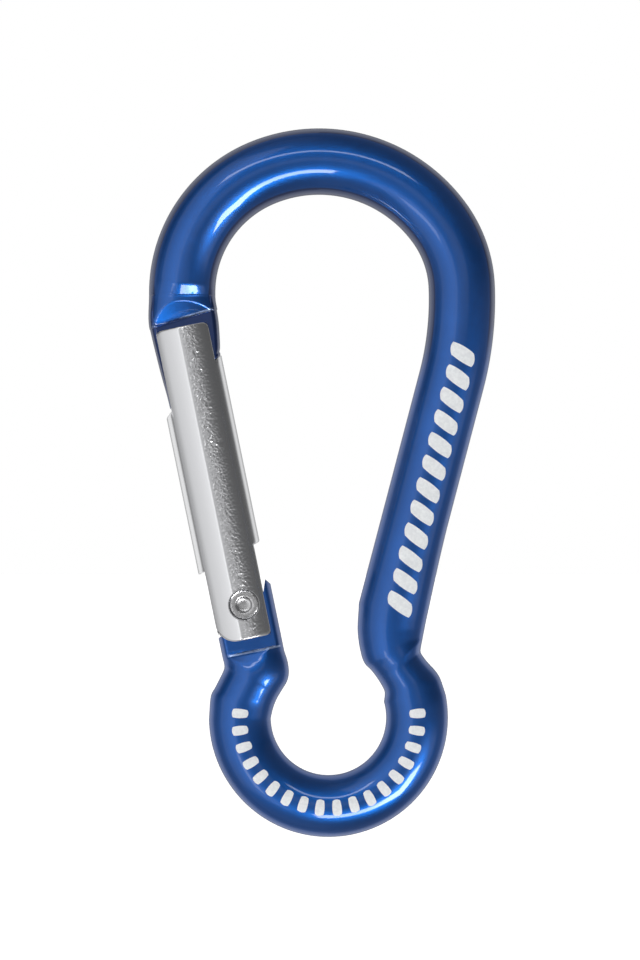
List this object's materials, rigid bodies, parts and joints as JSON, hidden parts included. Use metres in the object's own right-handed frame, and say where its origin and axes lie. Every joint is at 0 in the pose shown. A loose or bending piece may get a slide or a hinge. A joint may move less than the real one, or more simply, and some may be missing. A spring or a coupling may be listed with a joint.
{
  "type": "snap gate carabiner",
  "caption": "Pear-shaped accessory carabiner: a bent round rod with a wide bow and a small round eye, closed by a sprung gate that swings inward on a rivet.",
  "frame": {"origin": "inside crown of the bow, in the mid-plane, where the carabiner hangs from what it is clipped to", "axes": "+Z from the eye up to the bow, +X from the gate to the spine, +Y through the thickness, away from the viewer who sees the gate on the left"},
  "size_m": [0.0391, 0.0074, 0.08],
  "materials": {
    "anodised_frame": "glossy blue anodised aluminium",
    "bright_gate": "bright drawn aluminium with a fine orange-peel texture",
    "rivet_steel": "formed steel rivet, satin, bright in the dimple",
    "spring_steel": "drawn stainless spring wire",
    "plunger_steel": "turned stainless steel"
  },
  "bodies": {
    "frame": {"frame": "anodised_frame"},
    "gate": {"gate": "bright_gate", "hinge_rivet": "rivet_steel", "gate_spring": "spring_steel"},
    "plunger": {"spring_plunger": "plunger_steel"}
  },
  "joints": [
    {"name": "gate_hinge", "type": "hinge", "parent": "frame", "child": "gate", "pos_m": [-0.00843, 0, -0.0462], "axis": [0, 1, 0], "range_deg": [0, 28], "stiffness_Nm_per_rad": 0.05, "springref_deg": -34.38, "deforming": ["gate_spring"]},
    {"name": "plunger_slide", "type": "slide", "parent": "gate", "child": "plunger", "axis": [-0.2011, 0, 0.9796], "range_m": [0, 0.00035]}
  ],
  "couplings": [
    {"joint": "plunger_slide", "follows": "gate_hinge", "m_per_rad": 0.0007}
  ]
}
